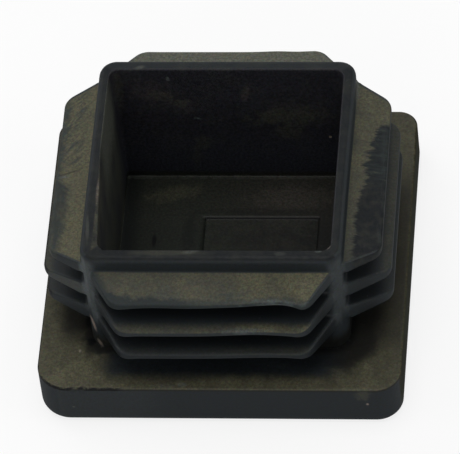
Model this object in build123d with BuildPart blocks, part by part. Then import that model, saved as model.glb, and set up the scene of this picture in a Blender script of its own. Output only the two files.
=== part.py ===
"""Push-in end cap for a square tube: a plain square head, a hollow spigot and rows of
flexible fins that grip the inside of the tube. It is one moulding in black polyethylene.

Millimetres, +Z up. The origin is the middle of the head's outer face, which the cap stands
on here, so the spigot's open mouth looks up and the tube would come down over it.
"""

import math
import os

from build123d import *

# Head: it covers the tube's cut end and is as wide as the tube is outside.
head_side = 50.0
head_thickness = 7.2
head_corner_radius = 3.6
head_face_radius = 1.45  # round between the outer face and the sides
head_shoulder_radius = 0.3  # light round between the sides and the shoulder

# Spigot: a square cup that stands on the head.
spigot_side = 35.5
spigot_height = 19.0
spigot_corner_radius = 2.4
rim_wall = 1.55
rim_outer_radius = 0.5
rim_inner_radius = 0.3
foot_radius = 0.6

# Cup: it reaches down into the head and narrows a little, so that the core draws out.
floor_thickness = 3.7
cup_corner_radius = 1.0
cup_draft = 0.8  # degrees

# Bare panel that the mould's insert leaves sunk in the cup's floor, off centre.
panel_width = 16.0
panel_length = 16.4
panel_offset = 3.75
panel_depth = 0.15
panel_corner_radius = 0.4

# Fins: wedge blades, square to the wall underneath and sloping down to the tip on top.
fin_pitch = 4.85
fin_root_thickness = 1.8
fin_tip_thickness = 0.65
fin_reach = 6.05
fin_root_radius = 0.3
fin_tip_radius = 0.2
fin_corner_radius = 2.5
fin_end_margin = 1.45  # from the spigot's side to where a blade's slanted end meets the wall
fin_end_angle = 32.0  # degrees that an end leans in from square
fin_head_gap = 3.0  # least room between the last blade and the shoulder

# The first fin leads into the tube, so it is shorter and thinner.
lead_fin_depth = 4.1  # from the rim down to its underside
lead_fin_reach = 5.05
lead_fin_root_thickness = 1.3

# Derived places
spigot_half = spigot_side / 2
rim_height = head_thickness + spigot_height
mouth_side = spigot_side - 2 * rim_wall
lead_fin_underside = rim_height - lead_fin_depth
fin_room = lead_fin_underside - head_thickness - fin_head_gap
fin_rows = 1 + math.floor(fin_room / fin_pitch)
undersides = [lead_fin_underside - row * fin_pitch for row in range(fin_rows)]


def collar(underside, reach, root_thickness):
    """A flange right round the spigot, with a blunt edge and a sloping top. Its corners are
    cut away later, so that a blade is left on each side."""
    outer_side = spigot_side + 2 * reach
    outer_radius = spigot_corner_radius + reach
    with BuildPart() as flange:
        with BuildSketch(Plane.XY.offset(underside)):
            RectangleRounded(outer_side, outer_side, outer_radius)
        extrude(amount=fin_tip_thickness)
        with BuildSketch(Plane.XY.offset(underside + fin_tip_thickness)):
            RectangleRounded(outer_side, outer_side, outer_radius)
        with BuildSketch(Plane.XY.offset(underside + root_thickness)):
            RectangleRounded(spigot_side, spigot_side, spigot_corner_radius)
        loft()
        edges = flange.edges().filter_by_position(Axis.Z, underside, underside + fin_tip_thickness)
        fillet(edges.filter_by(Plane.XY), radius=fin_tip_radius)
    return flange.part


def corner_cutter(underside, reach, root_thickness):
    """What lies outside the four blades of one row: it leaves slanted ends and the
    spigot's bare rounded corners."""
    tip = spigot_half + reach
    root_half = spigot_half - fin_end_margin
    tip_half = root_half - reach * math.tan(math.radians(fin_end_angle))
    clear = fin_root_radius + fin_tip_radius
    stock_side = 2 * (tip + clear)
    with BuildSketch() as blade:
        with BuildLine():
            Polyline(
                (0, -root_half),
                (spigot_half, -root_half),
                (tip, -tip_half),
                (tip, tip_half),
                (spigot_half, root_half),
                (0, root_half),
                close=True,
            )
        make_face()
        fillet(blade.vertices().group_by(Axis.X)[-1], radius=fin_corner_radius)
    with BuildPart() as cutter:
        with BuildSketch(Plane.XY.offset(underside - clear)):
            Rectangle(stock_side, stock_side)
            RectangleRounded(spigot_side, spigot_side, spigot_corner_radius, mode=Mode.SUBTRACT)
            with PolarLocations(0, 4):
                add(blade.sketch, mode=Mode.SUBTRACT)
        extrude(amount=root_thickness + 2 * clear)
    return cutter.part


def shoulder_face(part):
    """The head's flat ring round the spigot, which the tube's end seats on."""
    flat_faces = part.faces().filter_by(Plane.XY)
    return flat_faces.filter_by(lambda face: abs(face.center().Z - head_thickness) < 0.01)[0]


rows = [(lead_fin_underside, lead_fin_reach, lead_fin_root_thickness)]
rows += [(underside, fin_reach, fin_root_thickness) for underside in undersides[1:]]

with BuildPart() as end_cap:
    # Spigot, with a flange for each row of fins
    with BuildSketch(Plane.XY.offset(head_thickness)):
        RectangleRounded(spigot_side, spigot_side, spigot_corner_radius)
    extrude(amount=spigot_height)
    fillet(end_cap.faces().sort_by(Axis.Z)[-1].edges(), radius=rim_outer_radius)
    add([collar(*row) for row in rows])
    fillet(end_cap.edges(Select.NEW), radius=fin_root_radius)
    add([corner_cutter(*row) for row in rows], mode=Mode.SUBTRACT)

    # Head
    with BuildSketch(Plane.XY):
        RectangleRounded(head_side, head_side, head_corner_radius)
    extrude(amount=head_thickness)
    outer_face = end_cap.faces().sort_by(Axis.Z)[0]
    fillet(outer_face.edges(), radius=head_face_radius)
    fillet(shoulder_face(end_cap).outer_wire().edges(), radius=head_shoulder_radius)
    fillet(shoulder_face(end_cap).inner_wires()[0].edges(), radius=foot_radius)

    # Cup
    with BuildSketch(Plane.XY.offset(rim_height)):
        RectangleRounded(mouth_side, mouth_side, cup_corner_radius)
    extrude(amount=-(rim_height - floor_thickness), taper=cup_draft, mode=Mode.SUBTRACT)
    mouth = end_cap.faces().filter_by(Plane.XY).sort_by(Axis.Z)[-1]
    fillet(mouth.inner_wires()[0].edges(), radius=rim_inner_radius)
    with BuildSketch(Plane.XY.offset(floor_thickness)):
        with Locations((panel_offset, 0)):
            RectangleRounded(panel_width, panel_length, panel_corner_radius)
    extrude(amount=-panel_depth, mode=Mode.SUBTRACT)

end_cap.part.label = "end_cap"
os.makedirs("parts", exist_ok=True)
export_step(end_cap.part, "parts/end_cap.step")
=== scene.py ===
import math

import bpy
import numpy as np
from mathutils import Matrix, Vector


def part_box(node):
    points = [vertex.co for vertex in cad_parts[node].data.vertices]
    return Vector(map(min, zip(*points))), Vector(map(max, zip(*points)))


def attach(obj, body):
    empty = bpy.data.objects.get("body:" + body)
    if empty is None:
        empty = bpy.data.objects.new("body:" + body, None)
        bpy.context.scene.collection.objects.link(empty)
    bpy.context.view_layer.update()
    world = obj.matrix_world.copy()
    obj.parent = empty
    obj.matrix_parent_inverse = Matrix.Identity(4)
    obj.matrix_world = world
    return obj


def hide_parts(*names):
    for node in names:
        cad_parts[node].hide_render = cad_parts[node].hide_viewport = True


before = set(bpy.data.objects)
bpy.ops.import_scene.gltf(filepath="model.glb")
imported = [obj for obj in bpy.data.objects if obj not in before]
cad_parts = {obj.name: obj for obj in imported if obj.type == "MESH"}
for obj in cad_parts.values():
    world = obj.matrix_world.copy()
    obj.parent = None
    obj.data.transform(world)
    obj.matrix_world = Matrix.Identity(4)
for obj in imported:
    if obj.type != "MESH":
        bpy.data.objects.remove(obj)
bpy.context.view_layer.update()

capLow, capHigh = (np.array(corner) * 1000 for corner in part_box("end_cap"))
print("frame loaded, cap is", np.round(capHigh - capLow, 2), "mm")

# Sizes in millimetres. What the frame gives is read from it.
cap = {
    "headHalf": (capHigh[0] - capLow[0]) / 2,
    "headTop": 7.2,
    "headCorners": (3.6, 2.7, 3.4, 4.4),  # front right, back right, back left, front left
    "faceRound": 1.2,
    "shoulderRound": 0.3,
    "spigotHalf": 17.75,
    "spigotCorner": 2.4,
    "backBulge": 0.28,  # the spigot's back wall stands out this much further
    "rightBulge": 0.15,
    "frontLip": 0.28,  # the rim is this much wider along the front
    "leftLean": 0.055,  # and on the left by this much per mm towards the front
    "leftStart": 0.02,  # less this everywhere on the left
    "leftThin": 0.12,  # where it is thinner by this much at most
    "footRound": 0.15,
    "rimTop": capHigh[2],
    "rimWall": 1.55,
    "rimOuterRound": 0.8,
    "rimInnerRound": 0.3,
    "cupCorner": 1.35,  # at the rim
    "floorCorner": 0.4,  # and down at the floor
    "cupDraft": 0.8,  # degrees
    "cupFloor": 3.7,
    "floorRound": 0.15,
    "panelHalf": (8.0, 8.2),
    "panelCentre": (3.75, 0.0),
    "panelDepth": 0.15,
    "panelDraft": 0.02,
    "panelCorner": 0.4,
}

fins = {
    "rows": (  # reach on the front, right, back and left; thickness at the root and tip
        {"underside": 12.25, "reach": (6.05, 6.05, 6.05, 6.05), "root": 2.15, "tip": 0.8},
        {"underside": 17.1, "reach": (6.05, 6.05, 6.05, 6.05), "root": 2.15, "tip": 0.8},
        {"underside": 22.0, "reach": (5.05, 5.05, 4.75, 4.85), "root": 1.5, "tip": 0.75},
    ),
    "rootRound": 0.45,
    "tipRound": 0.28,
    "endMargin": 1.3,  # from the spigot's side to where a blade's slanted end meets the wall
    "endAngle": (32.0, 32.0, 39.0, 32.0),  # degrees on the front, right, back and left
    "cornerRound": 2.3,
    "endSwell": 0.36,  # each blade thickens downwards by this towards its two ends
    "topSwell": 0.2,  # and upwards by this share of it
    "mergeReach": 0.9,  # an end shorter than this melts into the spigot's corner
}

# How each blade is bent at its tip: side, row, place along the side, width, lift.
bends = (
    {"side": 0, "row": 2, "at": 9.6, "width": 5.2, "lift": 0.76},
    {"side": 0, "row": 2, "at": 12.8, "width": 1.5, "lift": -0.62},
    {"side": 0, "row": 2, "at": -12.0, "width": 3.0, "lift": -0.22},
    {"side": 0, "row": 2, "at": -3.0, "width": 3.0, "lift": -0.15},
    {"side": 0, "row": 1, "at": 6.0, "width": 5.0, "lift": 0.45},
    {"side": 0, "row": 0, "at": 8.0, "width": 7.0, "lift": 0.35},
    {"side": 2, "row": 2, "at": -6.5, "width": 2.5, "lift": 0.2},
    {"side": 2, "row": 2, "at": -11.5, "width": 2.0, "lift": 0.2},
    {"side": 1, "row": 2, "at": 3.0, "width": 5.0, "lift": -0.12},
    {"side": 3, "row": 2, "at": 6.0, "width": 6.0, "lift": 0.12},
)

# Small nicks in the head's upper edge: side, place along it, half length and depth.
nicks = (
    {"side": 0, "at": -22.0, "half": 0.5, "depth": 0.22},
    {"side": 0, "at": -20.6, "half": 0.4, "depth": 0.16},
    {"side": 0, "at": -19.2, "half": 0.7, "depth": 0.2},
    {"side": 0, "at": -17.2, "half": 0.5, "depth": 0.12},
    {"side": 0, "at": -15.4, "half": 0.8, "depth": 0.15},
    {"side": 1, "at": -18.2, "half": 0.35, "depth": 0.15},
    {"side": 1, "at": -21.0, "half": 0.3, "depth": 0.15},
    {"side": 1, "at": 19.5, "half": 0.4, "depth": 0.12},
)


def arc(centre, radius, first, last, steps):
    # Points at a radius round a centre, from the first angle to the last, in degrees.
    a = np.radians(np.linspace(first, last, steps))
    return np.stack([centre[0] + radius * np.cos(a), centre[1] + radius * np.sin(a)], 1)


def smooth(low, high, x):
    # 0 at low, 1 at high, with a smooth ramp between.
    t = np.clip((x - low) / (high - low), 0, 1)
    return t * t * (3 - 2 * t)


def walkAround(flat):
    # One lap round a rounded square: on each side the straight part runs from -1 to 1
    # with close points where the blades end, then the corner turns through a right angle.
    bladeEnds = 11.0
    inner = np.linspace(0, bladeEnds, 23)
    outer = np.linspace(bladeEnds, flat, 23)
    half = np.r_[inner, outer[1:]] / flat
    straight = np.r_[-half[::-1], half[1:]]
    turn = np.array([4, 8, 12, 16, 19, 22, 24.5, 30, 37.5, 45])
    turn = np.r_[turn, 90 - turn[-2::-1]]
    along = np.r_[straight, np.ones(len(turn))]
    angle = np.radians(np.r_[np.zeros(len(straight)), turn])
    side = np.repeat(np.arange(4), len(along))
    return side, np.tile(along, 4), np.tile(angle, 4)


straightHalf = cap["spigotHalf"] - cap["spigotCorner"]
lapSide, lapAlong, lapAngle = walkAround(straightHalf)
turnCos, turnSin = (f(lapSide * np.pi / 2).round() for f in (np.cos, np.sin))


def turned(x, y):
    # Turns a side's own directions to that side's place on the lap.
    return turnCos * x - turnSin * y, turnSin * x + turnCos * y


edgeX, edgeY = turned(lapAlong, -np.ones_like(lapAlong))
normalX, normalY = turned(np.sin(lapAngle), -np.cos(lapAngle))


def ring(half, corner, height, centre=(0, 0)):
    # A rounded rectangle on the lap: the straight part's end plus the corner's radius
    # along the normal.
    halfX, halfY = np.broadcast_to(half, 2)
    x = centre[0] + edgeX * (halfX - corner) + corner * normalX
    y = centre[1] + edgeY * (halfY - corner) + corner * normalY
    return np.stack([x, y, np.full_like(x, height)], 1)


# Where each lap point stands on the spigot: its side, its place along it and outwards.
pastCorner = lapAngle > np.pi / 4 + 1e-6
finSide = np.where(pastCorner, (lapSide + 1) % 4, lapSide)
cornerSwing = cap["spigotCorner"] * np.where(pastCorner, np.cos(lapAngle), np.sin(lapAngle))
finAlong = np.where(pastCorner, -1, 1) * (np.abs(lapAlong) * straightHalf + cornerSwing)
finAlong = np.where(lapAngle == 0, lapAlong * straightHalf, finAlong)
cornerOut = cap["spigotCorner"] * np.where(pastCorner, np.sin(lapAngle), np.cos(lapAngle))
wallOut = straightHalf + cornerOut
outX = np.sin(finSide * np.pi / 2).round()
outY = -np.cos(finSide * np.pi / 2).round()
spigotRing = ring(cap["spigotHalf"], cap["spigotCorner"], 0.0)


def onWall(outwards):
    # 1 on the wall that faces that way, falling to 0 round the spigot's corners.
    return smooth(14.5, 17.0, outwards)


def bulge():
    # The spigot's walls stand out a little further at the back and towards the back right.
    x, y, z = spigotRing.T
    back = cap["backBulge"] * onWall(y)
    right = cap["rightBulge"] * onWall(x) * smooth(-8.0, 12.0, y)
    return np.stack([right, back, z], 1)


def lip():
    # Moves the cup's front wall inwards, and its left wall too towards the front.
    x, y, z = spigotRing.T
    left = np.maximum(-cap["leftStart"] - cap["leftLean"] * y, -cap["leftThin"])
    return np.stack([left * onWall(-x), cap["frontLip"] * onWall(-y), z], 1)


def section(half, corner, height, centre=(0, 0), grown=0.0, lipped=0.0):
    # One level ring of the cap, with its share of the walls' bulge and of the rim's lip.
    return ring(half, corner, height, centre) + bulge() * grown + lip() * lipped


def bladeReach(row):
    # How far the blade's edge stands out from the spigot at each lap point: the straight
    # tip, a round corner, then the slanted end down to the wall.
    s = np.abs(finAlong)
    slant = np.radians(np.array(fins["endAngle"]))[finSide]
    reach = np.array(row["reach"])[finSide]
    tip = cap["spigotHalf"] + reach
    rootHalf = cap["spigotHalf"] - fins["endMargin"]
    radius = fins["cornerRound"]
    centre = rootHalf - (radius + np.sin(slant) * (reach - radius)) / np.cos(slant)
    onCorner = tip - radius + np.sqrt(np.clip(radius**2 - (s - centre) ** 2, 0, None))
    onSlant = cap["spigotHalf"] + (rootHalf - s) / np.tan(slant)
    beyond = np.where(s < centre + radius * np.cos(slant), onCorner, onSlant)
    return np.clip(np.where(s < centre, tip, beyond) - wallOut, 0, None)


def bladeLift(rowIndex):
    # The sum of the row's bends: each is a bell curve along its side.
    lift = np.zeros_like(finAlong)
    for bend in bends:
        if bend["row"] == rowIndex:
            bump = np.exp(-(((finAlong - bend["at"]) / bend["width"]) ** 2))
            lift += np.where(finSide == bend["side"], bend["lift"] * bump, 0)
    return lift


def bladeProfile(row, reach):
    # The blade's outline at each lap point, from under its root, round its edge and back
    # on top: each step is a place outwards and a height. The rounds at the root and the
    # tip are parabolas, and the top falls in a straight line from root to tip.
    slope = (row["root"] - row["tip"]) / row["reach"][0]
    swell = fins["endSwell"] * smooth(9.5, 14.5, np.abs(finAlong))
    under = row["underside"] - swell
    crown = row["underside"] + fins["topSwell"] * swell + row["root"]
    rootR = np.minimum(fins["rootRound"], 0.45 * reach)
    tipR = np.minimum(fins["tipRound"], 0.3 * reach)
    steps = []
    for t in np.linspace(0, 1, 5):
        steps.append((rootR * t**2, under - rootR * (1 - t) ** 2))
    for t in (0.12, 0.35, 0.65, 0.88):
        steps.append((rootR + (reach - tipR - rootR) * t, under))
    for t in np.linspace(0, 1, 4):
        steps.append((reach - tipR * (1 - t) ** 2, under + tipR * t**2))
    for t in np.linspace(0, 1, 4):
        out = reach - tipR * t**2
        steps.append((out, crown - slope * out - tipR * (1 - t) ** 2))
    for t in (0.08, 0.2, 0.35, 0.5, 0.65, 0.8, 0.92):
        out = (reach - tipR) + (rootR - reach + tipR) * t
        steps.append((out, crown - slope * out))
    for t in np.linspace(0, 1, 5):
        out = rootR * (1 - t) ** 2
        steps.append((out, crown - slope * out + rootR * t**2))
    return steps


def bladeRings(rowIndex):
    # One row of blades as rings. Where the blade runs out, the rings spread up the wall
    # instead, so no face closes to nothing.
    row = fins["rows"][rowIndex]
    reach = bladeReach(row)
    lift = bladeLift(rowIndex)
    merge = smooth(0, fins["mergeReach"], reach)
    low = row["underside"] - fins["rootRound"]
    high = row["underside"] + row["root"] + fins["rootRound"]
    steps = bladeProfile(row, reach)
    made = []
    for i, (out, z) in enumerate(steps):
        spread = low + (high - low) * i / (len(steps) - 1)
        z = spread + (z - spread) * merge + lift * (out / row["reach"][0]) ** 1.6
        stay = 1 - np.clip(out / np.maximum(reach, 1.0), 0, 1)
        made.append(spigotRing + bulge() * stay[:, None] + np.stack([outX * out, outY * out, z], 1))
    return made


def nickDepth():
    # How deep the head's upper edge is nicked at each lap point: a notch with straight
    # sides, cut inwards and downwards alike.
    depth = np.zeros_like(finAlong)
    headAlong = lapAlong * (cap["headHalf"] - cap["headCorners"][0])
    for nick in nicks:
        gone = np.clip(1 - np.abs(headAlong - nick["at"]) / nick["half"], 0, 1)
        depth += np.where((lapSide == nick["side"]) & (lapAngle == 0), nick["depth"] * gone, 0)
    return 0.7 * depth[:, None] * np.stack([outX, outY, np.ones_like(outX)], 1)


def headRings():
    # The outer face, its round edge, the sides, the nicked upper edge and the shoulder.
    h, top = cap["headHalf"], cap["headTop"]
    corners = np.array(cap["headCorners"])
    r = np.where(lapAlong < 0, corners[(lapSide - 1) % 4], corners[lapSide])
    e = cap["faceRound"]
    made = [section((h - e) * t, (r - e) * t, 0.0) for t in (0.12, 0.35, 0.6, 0.85, 0.97)]
    made += [section(h + out, r + out, z) for out, z in arc((-e, e), e, -90, 0, 8)]
    made += [section(h, r, z) for z in (1.7, 3.0, 4.5, 6.0, 6.7)]
    k = cap["shoulderRound"]
    for out, z in arc((-k, top - k), k, 0, 90, 5):
        made.append(section(h + out, r + out, z) - nickDepth())
    foot = cap["spigotHalf"] + cap["footRound"]
    footCorner = cap["spigotCorner"] + cap["footRound"]
    for t in (0.04, 0.15, 0.35, 0.55, 0.75, 0.9, 0.97):
        half, corner = (h - k) + (foot - h + k) * t, (r - k) + (footCorner - r + k) * t
        made.append(section(half, corner, top, grown=t))
    return made


def spigotRings():
    # The foot's fillet, the wall with its rows of blades, and the rim's outer edge.
    s, c, foot = cap["spigotHalf"], cap["spigotCorner"], cap["footRound"]
    k, rim = cap["rimOuterRound"], cap["rimTop"]

    def wall(low, high):
        return [section(s, c, low + (high - low) * t, grown=1.0) for t in (0.15, 0.5, 0.85)]

    level = cap["headTop"] + foot
    made = [section(s + out, c + out, z, grown=1.0) for out, z in arc((foot, level), foot, -90, -180, 6)]
    for index, row in enumerate(fins["rows"]):
        made += wall(level, row["underside"] - fins["rootRound"]) + bladeRings(index)
        level = row["underside"] + row["root"] + fins["rootRound"]
    made += wall(level, rim - k)
    made += [section(s + out, c + out, z, grown=1.0) for out, z in arc((-k, rim - k), k, 0, 90, 6)]
    return made


def cupRings():
    # The rim's flat and inner edge, the drafted cup, its floor and the sunk panel.
    rim, q = cap["rimTop"], cap["rimInnerRound"]
    s, c = (cap[key] - cap["rimOuterRound"] for key in ("spigotHalf", "spigotCorner"))
    inner, ci = cap["spigotHalf"] - cap["rimWall"], cap["cupCorner"]
    made = []
    for t in (0.15, 0.5, 0.85):
        half, corner = s + (inner + q - s) * t, c + (ci + q - c) * t
        made.append(section(half, corner, rim, grown=1 - t, lipped=t))
    made += [section(inner + out, ci + out, z, lipped=1.0) for out, z in arc((q, rim - q), q, 90, 180, 5)]
    floor, fr, cf = cap["cupFloor"], cap["floorRound"], cap["floorCorner"]
    draft = math.tan(math.radians(cap["cupDraft"]))
    for z in np.r_[rim - q - 0.3, np.linspace(rim - 1.5, floor + fr + 0.4, 12)]:
        share = (z - floor) / (rim - floor)
        made.append(section(inner - (rim - z) * draft, cf + (ci - cf) * share**2, z, lipped=share))
    floorHalf = inner - (rim - floor) * draft
    made += [section(floorHalf + out, cf + out, z) for out, z in arc((-fr, floor + fr), fr, 0, -90, 4)]
    panel, centre, cp = np.array(cap["panelHalf"]), np.array(cap["panelCentre"]), cap["panelCorner"]
    for t in (0.03, 0.15, 0.4, 0.7, 0.93, 1.0):
        half, corner = panel * t + (floorHalf - fr) * (1 - t), cp * t + (cf - fr) * (1 - t)
        made.append(section(half, corner, floor, centre * t))
    low = floor - cap["panelDepth"]
    made.append(section(panel - cap["panelDraft"], cp, low, centre))
    made += [section(panel * t, cp * t, low, centre) for t in (0.97, 0.8, 0.55, 0.3, 0.1)]
    return made


def closedMesh(name, rings, firstPole, lastPole):
    # Quads between neighbouring rings round the lap, and a fan of triangles at each pole.
    count, lap = rings.shape[:2]
    points = np.vstack([rings.reshape(-1, 3), firstPole, lastPole]) / 1000
    a = np.arange(lap)
    b = (a + 1) % lap
    base = (np.arange(count - 1) * lap)[:, None]
    quads = np.stack([base + a, base + b, base + lap + b, base + lap + a], -1).reshape(-1, 4)
    last, first = (count - 1) * lap, count * lap
    firstFan = np.stack([b, a, np.full(lap, first)], 1)
    lastFan = np.stack([last + a, last + b, np.full(lap, first + 1)], 1)
    mesh = bpy.data.meshes.new(name)
    mesh.from_pydata(points.tolist(), [], quads.tolist() + firstFan.tolist() + lastFan.tolist())
    mesh.update()
    mesh.polygons.foreach_set("use_smooth", np.ones(len(mesh.polygons), bool))
    made = bpy.data.objects.new(name, mesh)
    bpy.context.scene.collection.objects.link(made)
    print(name, "has", len(mesh.vertices), "points and", len(mesh.polygons), "faces")
    return made


rings = np.array(headRings() + spigotRings() + cupRings())
panelMiddle = (*cap["panelCentre"], cap["cupFloor"] - cap["panelDepth"])
moulding = closedMesh("mouldedCap", rings, (0, 0, 0), panelMiddle)
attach(moulding, "root")
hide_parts("end_cap")


class Value:
    # Wraps a shader socket, so that maths on it is written as plain Python.
    def __init__(self, tree, socket):
        self.tree = tree
        self.socket = socket

    def math(self, operation, *others):
        return self.tree.add("Math", {"operation": operation}, self, *others)

    def __add__(self, other):
        return self.math("ADD", other)

    def __sub__(self, other):
        return self.math("SUBTRACT", other)

    def __mul__(self, other):
        return self.math("MULTIPLY", other)

    def __rsub__(self, other):
        return self.tree.add("Math", {"operation": "SUBTRACT"}, other, self)

    __radd__ = __add__
    __rmul__ = __mul__


class Tree:
    # A material's or the world's nodes, emptied, with one way to add any of them.
    def __init__(self, owner):
        owner.use_nodes = True
        self.nodes = owner.node_tree.nodes
        self.links = owner.node_tree.links
        self.nodes.clear()

    def add(self, kind, settings=None, *values, out=0, **named):
        # Makes a node: its settings first, then values or links for its sockets.
        node = self.nodes.new("ShaderNode" + kind)
        for key, value in (settings or {}).items():
            setattr(node, key, value)
        for key, value in list(enumerate(values)) + list(named.items()):
            socket = node.inputs[key.replace("_", " ") if isinstance(key, str) else key]
            if isinstance(value, Value):
                self.links.new(value.socket, socket)
            elif value is not None:
                socket.default_value = value
        return Value(self, node.outputs[out]) if node.outputs else None


def ramp(value, low, high):
    # 0 at low, 1 at high, smooth between, whichever of the two is the larger.
    return value.tree.add("MapRange", {"interpolation_type": "SMOOTHSTEP"}, value, low, high)


stage = {
    "floorSize": 3.0,
    "floorDrop": 0.00002,  # just under the cap's face, so that the two don't flicker
    "clearHalf": 0.0228,  # the floor is clear under the cap, which is then lit from below too
    "floorColour": (0.8, 0.8, 0.8, 1),
    "floorGlow": 1.0,
    "floorWhite": 0.8,  # how much of the glow the camera sees instead of the lit floor
    "worldLight": 0.28,
    "white": (1, 1, 1, 1),
}

lamps = (
    # name, place in metres, size, level: how bright a white face turned to it looks
    ("overhead", (0.0, 0.0, 0.9), 0.7, 0.55),
    ("backLeft", (-0.6, 0.6, 0.6), 0.5, 0.2),
    ("left", (-0.85, -0.1, 0.45), 0.5, 0.15),
    ("right", (0.85, -0.1, 0.45), 0.5, 0.2),
    ("front", (-0.1, -0.85, 0.45), 0.5, 0.16),
    ("back", (0.1, 0.85, 0.45), 0.5, 0.12),
)


def whiteToCamera(tree):
    # 1 where the camera, a reflection or a clear material looks, 0 for light that falls.
    kinds = ("Camera", "Glossy", "Transmission")
    camera, glossy, through = (tree.add("LightPath", out="Is %s Ray" % kind) for kind in kinds)
    return camera.math("MAXIMUM", glossy.math("MAXIMUM", through))


def whiteWorld():
    world = bpy.data.worlds.new("studio")
    bpy.context.scene.world = world
    tree = Tree(world)
    strength = stage["worldLight"] + whiteToCamera(tree) * (1 - stage["worldLight"])
    tree.add("OutputWorld", None, tree.add("Background", None, stage["white"], strength))


def paleFloor():
    # Shows white and keeps the shadow that falls on it. It is clear from below, so that the
    # cap's face can be looked at.
    material = bpy.data.materials.new("paleFloor")
    tree = Tree(material)
    lit = tree.add("BsdfDiffuse", None, stage["floorColour"])
    glow = tree.add("Emission", None, stage["white"], stage["floorGlow"])
    both = tree.add("MixShader", None, whiteToCamera(tree) * stage["floorWhite"], lit, glow)
    where = tree.add("TexCoord", out="Object")
    x, y = (tree.add("SeparateXYZ", None, where, out=axis).math("ABSOLUTE") for axis in "XY")
    underCap = x.math("MAXIMUM", y).math("LESS_THAN", stage["clearHalf"])
    hidden = tree.add("NewGeometry", out="Backfacing").math("MAXIMUM", underCap)
    shown = tree.add("MixShader", None, hidden, both, tree.add("BsdfTransparent"))
    tree.add("OutputMaterial", None, shown)
    return material


def makeFloor():
    mesh = bpy.data.meshes.new("floor")
    h, z = stage["floorSize"] / 2, -stage["floorDrop"]
    mesh.from_pydata([(-h, -h, z), (h, -h, z), (h, h, z), (-h, h, z)], [], [(0, 1, 2, 3)])
    floor = bpy.data.objects.new("floor", mesh)
    bpy.context.scene.collection.objects.link(floor)
    floor.data.materials.append(paleFloor())


def makeLamps():
    for name, place, size, level in lamps:
        data = bpy.data.lights.new(name, "AREA")
        data.size = size
        data.energy = level * math.pi**2 * Vector(place).length ** 2
        lamp = bpy.data.objects.new(name, data)
        bpy.context.scene.collection.objects.link(lamp)
        lamp.location = place
        lamp.rotation_euler = Vector(place).to_track_quat("Z", "Y").to_euler()


makeFloor()
whiteWorld()
makeLamps()
print("floor, world and", len(lamps), "lamps made")


plastic = {
    "bare": (0.0190, 0.0235, 0.0265),  # black polyethylene, a little blue
    "burnished": (0.0050, 0.0066, 0.0080),  # rubbed dark and smooth
    "wall": (0.0225, 0.0225, 0.0275),  # the cup's inner walls
    "deepWall": (0.0300, 0.0320, 0.0410),
    "postHighlight": (0.0760, 0.0870, 0.0890),  # painted highlight down the spigot's rounded corners
    "floor": (0.0280, 0.0275, 0.0225),
    "dust": (0.0880, 0.0845, 0.0530),  # olive bloom on faces that look up
    "edge": (0.0360, 0.0420, 0.0440),  # paler blue-grey, mostly a painted highlight on thin edges and corners
    # scrapes, and the painted highlights along the front blades' tips
    "scrapedAndHighlight": (0.0850, 0.0980, 0.0950),
    "cream": (0.2000, 0.1650, 0.1400),
    "pale": (0.1000, 0.1060, 0.0920),
    "teal": (0.0260, 0.0350, 0.0340),
    "dull": (0.0190, 0.0188, 0.0150),
    "olive": (0.0560, 0.0570, 0.0430),
    "leftWall": (0.0540, 0.0580, 0.0470),
    "mossy": (0.0190, 0.0235, 0.0175),
    # dark marks, and the painted shade under and between the blades and at the spigot's foot
    "dark": (0.0040, 0.0045, 0.0050),
    "bareRough": 0.42,
    "dustRough": 0.62,
    "sheen": 0.2,
    "sheenRough": 0.45,
    "bumpStrength": 0.3,
    "bumpHeight": 0.00004,
}

# What the marks and the masks stand on, in millimetres.
rimTop, headTop, cupFloor = cap["rimTop"], cap["headTop"], cap["cupFloor"]
headFront, backWall = -cap["headHalf"], cap["spigotHalf"] - cap["rimWall"] - 0.3
middleUnder, topUnder = (row["underside"] for row in fins["rows"][1:])
middleBlade, topBlade = middleUnder + 1.1, topUnder + 0.9

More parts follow.
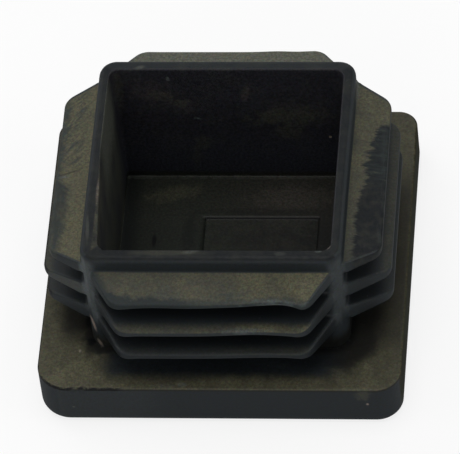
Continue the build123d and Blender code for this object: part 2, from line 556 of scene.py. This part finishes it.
# Marks on the surface, as soft ellipsoids: the finish that shows, how much of it, centre
# and half sizes in millimetres, and a turn in degrees about an axis.
marks = (
    # the cup's back wall
    ("olive", 0.55, (7.8, backWall, 16.4), (6.0, 2, 2.2), "Y", -3),
    ("olive", 0.45, (7.6, backWall, 13.1), (2.6, 2, 1.8), "Y", 0),
    ("cream", 0.12, (2.2, backWall, 21.2), (0.6, 2, 2.3), "Y", 12),
    ("olive", 0.45, (-9.6, backWall, 20.7), (2.2, 2, 1.2), "Y", 20),
    ("olive", 0.4, (-6.9, backWall, 19.1), (1.4, 2, 1.0), "Y", -35),
    ("cream", 0.07, (-11.0, backWall, 21.4), (3.6, 2, 3.2), "Y", 25),
    ("cream", 0.05, (-6.5, backWall, 18.6), (2.6, 2, 2.0), "Y", 25),
    ("olive", 0.14, (9.5, backWall, 17.8), (6.0, 2, 3.4), "Y", 0),
    ("olive", 0.45, (-4.7, backWall, 10.5), (1.5, 2, 1.9), "Y", 30),
    ("olive", 0.25, (-5.6, backWall, 7.6), (0.8, 2, 2.2), "Y", 8),
    ("olive", 0.4, (-15.4, 15.4, 22.0), (0.9, 2, 5.0), "Y", 0),
    ("scrapedAndHighlight", 0.7, (-8.4, backWall, 24.3), (0.35, 1, 0.6), "Y", 0),
    ("scrapedAndHighlight", 0.6, (-5.0, backWall, 16.0), (0.7, 1, 0.2), "Y", 10),
    ("cream", 4.0, (13.4, backWall, 12.1), (0.22, 1, 0.26), "Y", 0),
    # the cup's floor and the foot of its left wall
    ("dust", 0.32, (-9.0, 12.6, cupFloor), (4.6, 1.5, 1), "Z", 12),
    ("cream", 0.085, (8.0, 11.8, cupFloor), (7.0, 2.6, 1), "Z", 0),
    ("dark", 1.0, (-11.2, 4.0, cupFloor), (0.38, 1.4, 1), "Z", 0),
    ("cream", 0.12, (-16.0, 8.5, 4.5), (0.5, 4.5, 0.6), "Z", 0),
    ("dark", 0.35, (-6.4, 5.2, cupFloor), (1.0, 6.0, 1), "Z", 0),
    ("dark", 0.3, (3.2, 9.3, cupFloor), (10.0, 0.8, 1), "Z", 0),
    # blades at the front
    ("edge", 0.3, (-6.0, -20.9, topBlade), (1.8, 1.1, 1), "Z", 0),
    ("teal", 0.5, (3.0, -21.3, topBlade), (2.6, 0.9, 1), "Z", 0),
    # the next two, along the tips of the top and middle blades, are painted highlights
    ("scrapedAndHighlight", 0.75, (9.0, -22.5, topBlade), (5.4, 0.45, 0.8), "Z", 0),
    ("scrapedAndHighlight", 0.6, (4.5, -23.5, middleBlade), (3.6, 0.5, 0.8), "Z", 0),
    # the head and the spigot's foot
    ("dark", 0.9, (-17.95, -16.7, headTop), (0.75, 0.9, 1), "Z", 0),
    ("dark", 0.8, (-18.6, -13.3, headTop), (0.5, 1.3, 1), "Z", 0),
    ("cream", 0.9, (-17.2, -16.9, 11.6), (0.34, 0.8, 1.9), "Y", -14),
    ("cream", 0.75, (-16.6, -17.5, 7.9), (0.42, 0.6, 0.8), "Y", -30),
    ("pale", 0.6, (-4.85, -24.2, headTop), (0.8, 0.5, 0.5), "Z", 0),
    ("pale", 0.3, (-7.3, -24.4, headTop), (2.2, 0.35, 0.5), "Z", 0),
    ("olive", 0.75, (19.9, headFront, 6.1), (1.3, 0.5, 1.3), "Y", 0),
    ("cream", 1.0, (20.4, headFront, 4.2), (0.22, 0.5, 0.25), "Y", 0),
    ("cream", 0.8, (-19.3, -18.4, headTop), (0.2, 0.3, 1), "Z", 0),
    ("pale", 0.6, (-20.0, headFront, 3.2), (0.2, 0.5, 0.2), "Y", 0),
    # the rim
    ("olive", 0.4, (-6.0, -16.5, rimTop), (5.6, 0.6, 0.5), "Z", 0),
    ("pale", 0.35, (-2.6, -16.3, rimTop), (1.3, 0.4, 0.5), "Z", 10),
    ("pale", 0.2, (9.5, -16.6, rimTop), (0.9, 0.4, 0.5), "Z", 0),
    ("scrapedAndHighlight", 0.6, (14.6, -16.0, 26.1), (0.6, 0.5, 0.5), "Z", 0),
    ("pale", 0.45, (-12.1, 16.6, 26.1), (0.9, 0.4, 0.5), "Z", 15),
    ("cream", 0.4, (15.9, -15.4, 26.0), (0.35, 0.5, 0.6), "Z", -30),
    # a painted highlight on the spigot's right wall, near the back
    ("pale", 0.7, (17.9, 14.4, 23.8), (0.5, 2.6, 1.6), "Z", 0),
    # the rim's left side
    ("cream", 0.34, (-16.1, -5.6, 26.0), (0.26, 2.6, 0.7), "Z", 1),
    ("olive", 0.45, (-15.8, -10.5, 25.6), (0.4, 3.6, 1.6), "Z", 3),
    ("pale", 0.3, (-16.9, -12.5, rimTop), (0.3, 2.6, 0.6), "Z", 4),
    # the top blade on the left
    ("dark", 0.55, (-20.5, 0.2, topBlade), (2.1, 0.24, 1), "Z", 18),
    ("scrapedAndHighlight", 0.5, (-21.4, -0.6, topBlade), (1.1, 0.4, 1), "Z", 0),
)

# How much dust lies on the top blades, on the lower blades' tips and on the head.
dust = {
    "bladeFront": 0.67,
    "bladeBack": 1.2,
    "bladeLeft": 0.95,
    "bladeRight": 0.67,
    "tips": 0.42,
    "headFront": 0.67,
    "headBack": 0.45,
    "headLeft": 0.68,
    "headRight": 0.2,
    "most": 1.3,
}

# Where each top blade's rubbed band starts, in millimetres out from the spigot, and how
# strongly it is rubbed.
bands = {
    "frontStart": 3.6,
    "leftStart": 4.1,
    "rightStart": 1.15,
    "front": 0.7,
    "left": 0.95,
    "right": 1.0,
}

# Heights in millimetres between which a mask goes from 0 to 1.
heights = {
    "aboveFace": (1.5, 2.5),
    "nearFloor": (cupFloor + 1.3, cupFloor + 0.5),
    "headTop": (headTop - 0.6, headTop - 0.1),
    "belowFoot": (headTop + 1.3, headTop + 0.4),
    "aboveFoot": (headTop + 1.8, headTop + 2.3),
    "lowestRow": (middleUnder - 0.5, middleUnder - 1.1),
    "lowRows": (topUnder - 1.0, topUnder - 1.4),
    "topRow": (topUnder - 1.4, topUnder - 1.0),
    "rim": (rimTop - 0.5, rimTop - 0.2),
}


class Surface:
    # What the plastic's layers share: where a point of the cap is, masks from 0 to 1 for
    # what it is on, and the colour so far.
    def __init__(self, tree):
        self.tree = tree
        self.colour = (*plastic["bare"], 1)
        self.findPlace()
        self.findSide()
        self.makeNoises()
        self.findPart()
        self.findBladeEnd()
        self.findShelter()
        self.rubbed = rubbedBands(self)
        self.dusty = dustCover(self)

    def noise(self, scale, detail=3.0, rough=0.55, stretch=(1, 1, 1), turn=0.0):
        # Cloudy noise from 0 to 1; scale is in patches per millimetre.
        add, where = self.tree.add, self.mm
        if turn:
            settings = {"rotation_type": "Z_AXIS"}
            where = add("VectorRotate", settings, Vector=where, Angle=math.radians(turn))
        where = add("VectorMath", {"operation": "MULTIPLY"}, where, stretch)
        return add("TexNoise", None, Vector=where, Scale=scale, Detail=detail, Roughness=rough)

    def paint(self, mask, finish):
        # Lays a finish over the colour so far, as much as the mask says.
        unused = [None] * 5
        over = (*plastic[finish], 1)
        settings = {"data_type": "RGBA"}
        self.colour = self.tree.add("Mix", settings, mask, *unused, self.colour, over, out=2)

    def findPlace(self):
        # The place in millimetres, how far it is out from the spigot's wall and along it,
        # how far from the spigot round its corners, and how much the face looks up.
        add = self.tree.add
        metres = add("TexCoord", out="Object")
        self.mm = add("VectorMath", {"operation": "SCALE"}, metres, Scale=1000.0)
        self.x, self.y, self.z = (add("SeparateXYZ", None, self.mm, out=axis) for axis in "XYZ")
        self.upward = add("SeparateXYZ", None, add("TexCoord", out="Normal"), out="Z")
        self.acrossX, self.acrossY = self.x.math("ABSOLUTE"), self.y.math("ABSOLUTE")
        self.out = self.acrossX.math("MAXIMUM", self.acrossY) - cap["spigotHalf"]
        self.along = self.acrossX.math("MINIMUM", self.acrossY)
        pastX = (self.acrossX - straightHalf).math("MAXIMUM", 0.0)
        pastY = (self.acrossY - straightHalf).math("MAXIMUM", 0.0)
        self.fromSpigot = (pastX * pastX + pastY * pastY).math("SQRT") - cap["spigotCorner"]

    def findSide(self):
        frontOrBack = ramp(self.acrossY - self.acrossX, -0.2, 0.2)
        self.isFront = frontOrBack * ramp(self.y, 0.1, -0.1)
        self.isBack = frontOrBack * ramp(self.y, -0.1, 0.1)
        self.isRight = (1 - frontOrBack) * ramp(self.x, -0.1, 0.1)
        self.isLeft = (1 - frontOrBack) * ramp(self.x, 0.1, -0.1)
        self.frontLeft = self.isFront * ramp(self.x, 0.0, -4.0)

    def makeNoises(self):
        # From the widest patches to the finest grain.
        self.clouds = self.noise(0.16)
        self.mottle = self.noise(0.42, 3.0, 0.6) - 0.5
        self.blotches = self.noise(0.7, 4.0, 0.6)
        self.wander = self.blotches - 0.5
        self.grain = self.noise(2.7, 3.0, 0.8)

    def findPart(self):
        z, upward = self.z, self.upward
        self.facesUp = ramp(upward, 0.35, 0.8)
        self.flat = ramp(upward, 0.8, 0.95)
        self.inCup = ramp(self.out, -1.2, -1.5) * ramp(z, *heights["aboveFace"])
        self.outside = 1 - self.inCup
        self.onFloor = self.inCup * ramp(z, *heights["nearFloor"])
        self.onRim = ramp(z, *heights["rim"])
        nearTop = ramp(z, *heights["headTop"]) * ramp(z, *heights["belowFoot"])
        self.onHead = nearTop * ramp(self.fromSpigot, 0.0, 0.4)
        self.onBlade = ramp(self.out, 0.0, 0.15) * ramp(z, *heights["aboveFoot"])
        self.topRow = self.onBlade * ramp(z, *heights["topRow"])
        self.lowRows = self.onBlade * ramp(z, *heights["lowRows"])
        self.lowest = ramp(z, *heights["lowestRow"])
        self.bladeEdge = self.onBlade * ramp(upward, 0.7, 0.3) * ramp(upward, -0.5, 0.0)

    def findBladeEnd(self):
        # How far a point is from its blade's slanted end; the back's slants more.
        front, back = (math.tan(math.radians(fins["endAngle"][side])) for side in (0, 2))
        atWall = cap["spigotHalf"] - fins["endMargin"]
        self.fromEnd = atWall - self.out * (front + self.isBack * (back - front)) - self.along

    def findShelter(self):
        # Where the head is hidden behind the fins or close to the spigot, the fillet and
        # the crease at the spigot's foot, and the head's dusty right side.
        x, y, z, fromSpigot = self.x, self.y, self.z, self.fromSpigot
        farEdge, nearEdge = 5.6 + self.isFront * 0.6, 3.2 + self.isFront * 0.7
        behind = ramp(self.out + self.wander, farEdge, nearEdge)
        self.behindFins = behind * ramp(self.along, 18.2, 14.0)
        self.nearRight = ramp(x, 5.0, 12.0) * ramp(y, 2.0, -10.0) * 2.4
        close = ramp(fromSpigot + self.mottle * 3.0 - self.nearRight, 2.8, 0.6)
        self.sheltered = self.behindFins.math("MAXIMUM", close)
        foot = ramp(fromSpigot, 1.4, 0.2) * ramp(z, 10.5, 8.5) * ramp(z, 6.5, 7.0)
        crease = ramp(fromSpigot, 0.5, 0.1) * ramp(z, 7.75, 7.4) * ramp(z, 6.9, 7.1)
        self.foot, self.crease = foot * self.outside, crease * self.outside
        self.sideDust = self.isRight * ramp(self.out, 6.9, 7.1) * ramp(z, 0.8, 3.0)


def rubbedBands(s):
    # How far the top blades are rubbed smooth. Each band starts some way out from the
    # spigot, at a line that wanders along its side.
    x, y, wander = s.x, s.y, s.wander
    slope = (y + 7.0).math("MAXIMUM", 0.0) * 0.12
    spikes = (s.noise(1.0, 3.0, 0.7, (0.14, 1, 0)) - 0.5) * (2.2 + ramp(y, -5.0, 0.0) * 2.6)
    start = bands["rightStart"] + slope + ramp(y, 7.2, 9.2) + spikes + wander * 0.3
    right = s.isRight * ramp(s.out - start, -0.3, 0.45) * ramp(y + wander * 3.0, 10.2, 8.2)
    streaks = (s.noise(0.9, 3.0, 0.6, (0.35, 1.8, 0), 40) - 0.5) * 2.2
    start = bands["leftStart"] - ramp(y, -0.5, -3.5) * 1.35 + ramp(y, -9.0, -14.0) * 0.7
    left = s.isLeft * ramp(s.out - start - streaks, -0.5, 0.7)
    start = bands["frontStart"] + ramp(x, -9.0, -3.0) * 0.5 - ramp(x, -10.0, -13.0) * 0.5
    start = start + wander * 2.0
    front = ramp(s.out - start, -0.3, 0.6) * (s.isFront + s.frontLeft * 0.4)
    front = front + s.frontLeft * ramp(s.fromEnd + wander, 1.7, 0.5)
    rubbed = right * bands["right"] + left * bands["left"] + front * bands["front"]
    return s.topRow * rubbed.math("MINIMUM", 1.0)


def dustCover(s):
    # How thick the dust lies on the top blades, on the low blades' tips and on the head. It is thinner
    # where something rubs and at the blades' ends; it is kept off the head in the blades' shelter and off
    # the low blades' tops further in, which leaves them dark as painted shade.
    x, y = s.x, s.y
    front = dust["bladeFront"] + ramp(x, 1.0, 8.0) * 0.27
    left = dust["bladeLeft"] + ramp(y, -3.0, -7.0) * 0.25 + ramp(y, 4.0, 10.0) * 0.1
    right = dust["bladeRight"] - ramp(y, -4.0, -9.0) * 0.25
    top = s.isFront * front + s.isBack * dust["bladeBack"] + s.isLeft * left + s.isRight * right
    top = s.topRow * top * ramp(s.fromEnd, 0.3, 0.65) * (1 - s.rubbed)
    tips = dust["tips"] + s.isFront * ramp(x, 0.0, 6.0) * 0.4
    tips = tips * ramp(s.z, 12.0, 17.5) + 0.04
    tips = tips * s.lowRows * ramp(s.out, 4.2, 5.5) * (1 - s.isRight * 0.4)
    front = dust["headFront"] + ramp(x, -9.0, -16.0) * 0.12
    right = dust["headRight"] + ramp(y, 8.0, 16.0) * 0.32 + ramp(y, -14.0, -20.0) * 0.36
    head = s.isFront * front + s.isBack * dust["headBack"]
    head = head + s.isLeft * dust["headLeft"] + s.isRight * right
    head = s.onHead * (1 - s.sheltered) * head
    uneven = ramp(s.clouds, 0.3, 0.7) * 0.4 + 0.8 + s.mottle * 1.3
    return ((top + tips + head) * s.facesUp * uneven).math("MINIMUM", dust["most"])


def paintCup(s):
    # The cup's walls, paler towards the bottom, and its floor with darker stretches.
    s.paint(s.inCup, "wall")
    s.paint(s.inCup * ramp(s.z, 16.0, 7.0), "deepWall")
    s.paint(s.onFloor, "floor")
    s.paint(s.onFloor * ramp(s.y, 12.0, 4.0) * 0.55, "burnished")
    s.paint(s.onFloor * ramp(s.x, 6.0, -6.0) * (0.3 + s.blotches * 0.5), "mossy")
    s.paint(s.onFloor * ramp(s.x, -12.6, -15.0) * 0.6, "burnished")


def paintPanel(s):
    # The dark outline round the sunk panel, the pale line behind it at the back wall's foot,
    # and a little dust on the panel.
    (centreX, centreY), (halfX, halfY) = cap["panelCentre"], cap["panelHalf"]
    beyondX = (s.x - centreX).math("ABSOLUTE") - halfX
    beyondY = (s.y - centreY).math("ABSOLUTE") - halfY
    beyond = beyondX.math("MAXIMUM", beyondY)
    line = s.onFloor * ramp(beyond.math("ABSOLUTE"), 0.17, 0.06)
    s.paint(line * (ramp(s.y, 7.8, 8.0) * 0.6 + 0.3), "dark")
    backLine = s.inCup * ramp(s.z, 3.95, 3.85) * ramp(s.y, 15.2, 15.4)
    s.paint(backLine * ramp(s.blotches, 0.3, 0.6) * 0.22, "pale")
    s.paint(s.onFloor * ramp(beyond, 0.0, -0.3) * ramp(s.blotches, 0.35, 0.65) * 0.14, "olive")


def paintRim(s):
    # The rim is polished by use, as the band on the right blade is, and has worn patches.
    smoothed = s.flat.math("MAXIMUM", s.isFront)
    polished = s.onRim * smoothed * (0.85 - s.isBack * 0.45 + s.isFront * 0.15)
    s.paint(polished.math("MAXIMUM", s.rubbed * s.isRight), "burnished")
    worn = ramp(s.noise(0.35, 4.0, 0.6), 0.4, 0.68)
    s.paint(s.onRim * worn * (0.16 - s.isFront * 0.03), "olive")


def paintSpigot(s):
    # A painted highlight runs down the spigot's corners above the blades' roots, stronger on the left.
    # The front of the head is paler towards the left, and so is the wall under the rim at the front.
    bottom = s.z - s.isLeft * 2.5 - s.isRight * 1.5
    postHighlight = ramp(s.along, 15.6, 16.4) * ramp(s.out, 0.6, 0.1) * s.outside
    postHighlight = postHighlight * ramp(bottom, 10.5, 14.5) * ramp(s.z, 26.0, 24.6)
    # the painted highlight down the corners
    s.paint(postHighlight * (0.36 + ramp(s.x, -8.0, -14.0) * 0.24 + s.isLeft * 0.38), "postHighlight")
    headFront = s.isFront * ramp(s.out, 6.9, 7.1)
    s.paint(headFront * ramp(s.x, -5.0, -12.0) * 0.4, "edge")
    underRim = ramp(s.out, -0.3, 0.0) * ramp(s.z, 23.2, 23.8) * ramp(s.z, 25.9, 25.7)
    s.paint(s.isFront * underRim * 0.3, "edge")


def paintHead(s):
    # The head's upper face is dull. Painted shade darkens it behind the front fins, where no light or
    # dust gets between them, and near the spigot, most at the front right; painted shade also darkens the
    # recesses between the blades, the spigot's foot, more at the right, and the crease at the foot.
    hidden = s.behindFins * s.isFront
    s.paint(s.onHead * (1 - hidden), "dull")
    s.paint(s.onHead * hidden * 0.15, "dark")
    # painted shade in the recesses between the blades, less on the left and right
    inside = ramp(s.out - s.lowest * 0.7, 4.9, 2.6) * ramp(s.along, 16.6, 14.9)
    underRow = ramp(s.z, 21.9, 21.4) * ramp(s.z, 7.3, 8.2) * s.outside
    s.paint(inside * underRow * (1 - s.isLeft * 0.7 - s.isRight * 0.25) * 0.7, "dark")
    # painted shade over the spigot's foot and its fillet, and in the crease
    s.paint(s.foot * 0.8, "dull")
    s.paint(s.foot * ramp(s.x, 6.0, 12.0) * 0.55, "dark")
    s.paint(s.crease * 0.3, "dark")
    s.paint(s.onHead * ramp(s.fromSpigot - s.nearRight * 0.8, 2.2, 0.6) * 0.4, "dark")


def paintBladeEdges(s):
    # A painted highlight lies along the blades' thin edges and cut ends, weaker on the front's lowest row
    # and at the top left; the front's lowest edges are darker in blotches, and the lower blades' edges on
    # the left get painted light as well.
    dimmed = s.lowest * s.isFront * 0.42 + s.isFront * ramp(s.x, -1.0, -6.0) * s.topRow * 0.35
    s.paint(s.bladeEdge * (0.5 - dimmed) * (1 - ramp(s.fromEnd, 1.2, 0.2) * 0.6), "edge")
    s.paint(s.onBlade * s.flat * ramp(s.fromEnd, 0.65, 0.3) * 0.6, "edge")
    s.paint(s.bladeEdge * s.isFront * s.lowest * ramp(s.blotches, 0.3, 0.6) * 0.3, "dark")
    s.paint(s.bladeEdge * s.isLeft * s.lowRows * ramp(s.z, 15.0, 16.0) * 0.35, "pale")


def paintBands(s):
    # The rubbed bands on the top blades, with strokes drawn through them.
    strokes = s.noise(1.1, 3.0, 0.7, (0.22, 1.4, 0))
    drawn = ramp(s.noise(0.7, 3.0, 0.7, (1.6, 0.3, 0)), 0.42, 0.66)
    left, right = s.rubbed * s.isLeft, s.rubbed * s.isRight
    backHalf = ramp(s.y, -3.5, 1.0)
    upper = right * backHalf
    s.paint(left * 0.7 + s.rubbed * s.isFront * 0.8, "teal")
    s.paint(s.rubbed * s.frontLeft * 0.4, "burnished")
    s.paint(left * drawn * 0.4, "dust")
    s.paint(left * ramp(s.blotches, 0.6, 0.4) * 0.5, "dull")
    s.paint(right * (1 - s.isRight * backHalf) * ramp(s.blotches, 0.42, 0.7) * 0.24, "olive")
    s.paint(right * ramp(s.out, 3.6, 4.8) * drawn * 0.2, "scrapedAndHighlight")
    s.paint(upper * ramp(strokes, 0.35, 0.65) * 0.55, "teal")
    s.paint(upper * ramp(strokes * 0.5 + s.blotches * 0.5, 0.55, 0.68) * 0.5, "dust")


def paintDust(s):
    # The dust, with a paler back blade and slanting scratches through it on the left.
    s.paint(s.dusty, "dust")
    s.paint(s.isBack * s.topRow * s.flat * 0.6, "pale")
    scratches = ramp(s.noise(0.7, 3.0, 0.7, (0.4, 2.4, 0), -48), 0.46, 0.6) * ramp(s.y, 0.0, 2.5)
    s.paint(s.isLeft * s.topRow * s.flat * scratches * ramp(s.out, 0.6, 2.6) * 0.8, "teal")


def paintHeadEdge(s):
    # The head's upper edge is worn dark in patches, on the left and at two corners.
    edge = ramp(s.z, 6.7, 6.85) * ramp(s.fromSpigot, 5.0, 5.5) * ramp(s.upward, 0.98, 0.9)
    patches = ramp(s.noise(0.9, 3.0, 0.7), 0.36, 0.5)
    frontCorner = s.isFront * ramp(s.x, -12.5, -14.0)
    backCorner = s.isRight * ramp(s.y, 11.0, 19.0)
    s.paint(edge * patches * (s.isLeft * 0.8 + frontCorner + backCorner * 0.9), "dark")


def paintCupWalls(s):
    # Streaks down the cup's left wall, paler high up at the back, and darker near the rim towards the
    # front with painted shade; dust on its upper edge, smears on the back wall, and dust on the head's
    # right side.
    y, z = s.y, s.z
    streaks = ramp(s.noise(0.45, 3.0, 0.6, (1, 0.6, 0.3)), 0.35, 0.65) * 0.5
    highUp = ramp(z, 15.0, 21.0) * ramp(y, 0.0, 4.0) * 0.9
    # painted shade, darker near the rim towards the front
    paintedShadeNearRim = ramp(z, 13.0, 24.0) * ramp(y, 3.0, -2.0) * 0.32
    leftWall = s.inCup * ramp(s.x, -15.0, -15.6) * (1 - s.flat)
    leftWall = (leftWall * (0.4 + streaks + highUp - paintedShadeNearRim)).math("MAXIMUM", 0.0)
    leftWall = leftWall * ramp(y, 16.0, 11.0)
    s.paint(leftWall, "leftWall")
    s.paint(leftWall * highUp * 0.36, "pale")
    upperEdge = s.isLeft * ramp(s.out, -1.5, -1.75) * ramp(z, 21.5, 24.5) * ramp(y, 9.0, 4.0)
    s.paint(upperEdge * ramp(s.blotches, 0.35, 0.6) * 0.34, "dust")
    backWall = s.inCup * s.isBack * (1 - s.flat) * ramp(z, 4.5, 8.0)
    s.paint(backWall * ramp(s.noise(0.24, 4.0, 0.6), 0.48, 0.7) * 0.16, "olive")
    s.paint(s.sideDust * 0.36, "dust")


def paintMarks(s):
    # Each mark fades from its middle to a ragged outline; a thin one is less ragged.
    add = s.tree.add
    ragged = (s.noise(0.8, 4.0, 0.65) - 0.5) * 2.2
    for finish, amount, centre, half, axis, turn in marks:
        away = add("VectorMath", {"operation": "SUBTRACT"}, s.mm, centre)
        if turn:
            settings = {"rotation_type": axis + "_AXIS"}
            away = add("VectorRotate", settings, Vector=away, Angle=math.radians(-turn))
        away = add("VectorMath", {"operation": "DIVIDE"}, away, half)
        distance = add("VectorMath", {"operation": "LENGTH"}, away, out="Value")
        thin = min(half[0], half[2]) <= 0.6
        distance = distance + (ragged * 0.4 if thin else ragged)
        s.paint((ramp(distance, 1.15, 0.4) * amount).math("MINIMUM", 1.0), finish)


def grainedColour(s):
    # Specks, then a faint change of hue, then light and dark grain over the whole colour.
    add = s.tree.add
    s.paint(ramp(s.noise(1.6, 2.0, 0.7), 0.68, 0.8) * s.facesUp * 0.3, "scrapedAndHighlight")
    tint = add("TexNoise", None, Vector=s.mm, Scale=3.2, Detail=1.0, out="Color")
    least, spread = (0.7, 0.775, 0.625), (0.6, 0.45, 0.75)
    tint = add("VectorMath", {"operation": "MULTIPLY_ADD"}, tint, spread, least)
    tinted = add("VectorMath", {"operation": "MULTIPLY"}, s.colour, tint)
    strength = 0.42 + s.dusty * 0.2 + s.inCup * 0.3
    grain = (0.5 - ramp(s.grain, 0.3, 0.7)) * strength + 0.75
    return add("VectorMath", {"operation": "SCALE"}, tinted, Scale=grain)


def softSheen(s):
    # A soft uneven sheen, less where dust clings and where little light gets in.
    unlit = (s.onHead * s.sheltered * 0.3).math("MAXIMUM", s.foot * 0.6)
    unlit = unlit.math("MAXIMUM", s.sideDust.math("MAXIMUM", s.crease))
    return (1 - unlit) * (ramp(s.grain, 0.3, 0.7) * 0.7 + 0.65) * plastic["sheen"]


def blackPolyethylene():
    # The whole plastic: each layer lies over the ones before it.
    material = bpy.data.materials.new("blackPolyethylene")
    tree = Tree(material)
    s = Surface(tree)
    layers = (paintCup, paintPanel, paintRim, paintSpigot, paintHead, paintBladeEdges)
    layers += (paintBands, paintDust, paintHeadEdge, paintCupWalls, paintMarks)
    for layer in layers:
        layer(s)
    rough = plastic["bareRough"] + s.dusty * (plastic["dustRough"] - plastic["bareRough"])
    relief = s.noise(6.0, 2.0, 0.6) + s.grain
    strength, height = plastic["bumpStrength"], plastic["bumpHeight"]
    bump = tree.add("Bump", None, Strength=strength, Distance=height, Height=relief)
    shader = tree.add(
        "BsdfPrincipled",
        None,
        Base_Color=grainedColour(s),
        Roughness=rough,
        Normal=bump,
        Specular_IOR_Level=0.0,
        Coat_Weight=softSheen(s),
        Coat_Roughness=plastic["sheenRough"],
    )
    tree.add("OutputMaterial", None, shader)
    print(material.name, "has", len(layers), "layers and", len(marks), "marks")
    return material


moulding.data.materials.append(blackPolyethylene())

view = {
    "azimuth": 9.63,
    "elevation": 50.10,
    "roll": -7.24,
    "distance": 0.78635,
    "aim": (0.0, 0.0, 0.010),
    "right": 0.00028,  # the aim moves this far in the view's own directions
    "up": 0.00106,
    "lens": 444.76,
}


def makeCamera():
    az, el = math.radians(view["azimuth"]), math.radians(view["elevation"])
    back = Vector((math.sin(az) * math.cos(el), -math.cos(az) * math.cos(el), math.sin(el)))
    x = Vector((0, 0, 1)).cross(back).normalized()
    y = back.cross(x)
    roll = math.radians(view["roll"])
    right = x * math.cos(roll) + y * math.sin(roll)
    up = y * math.cos(roll) - x * math.sin(roll)
    aim = Vector(view["aim"]) + right * view["right"] + up * view["up"]
    data = bpy.data.cameras.new("camera")
    data.lens = view["lens"]
    data.sensor_width = 36
    data.clip_start, data.clip_end = 0.05, 10
    camera = bpy.data.objects.new("camera", data)
    bpy.context.scene.collection.objects.link(camera)
    turn = Matrix((right, up, back)).transposed().to_4x4()
    camera.matrix_world = Matrix.Translation(aim + back * view["distance"]) @ turn
    bpy.context.scene.camera = camera
    print("camera at", [round(value, 3) for value in camera.matrix_world.translation])


makeCamera()
bpy.context.scene.view_settings.view_transform = "Standard"
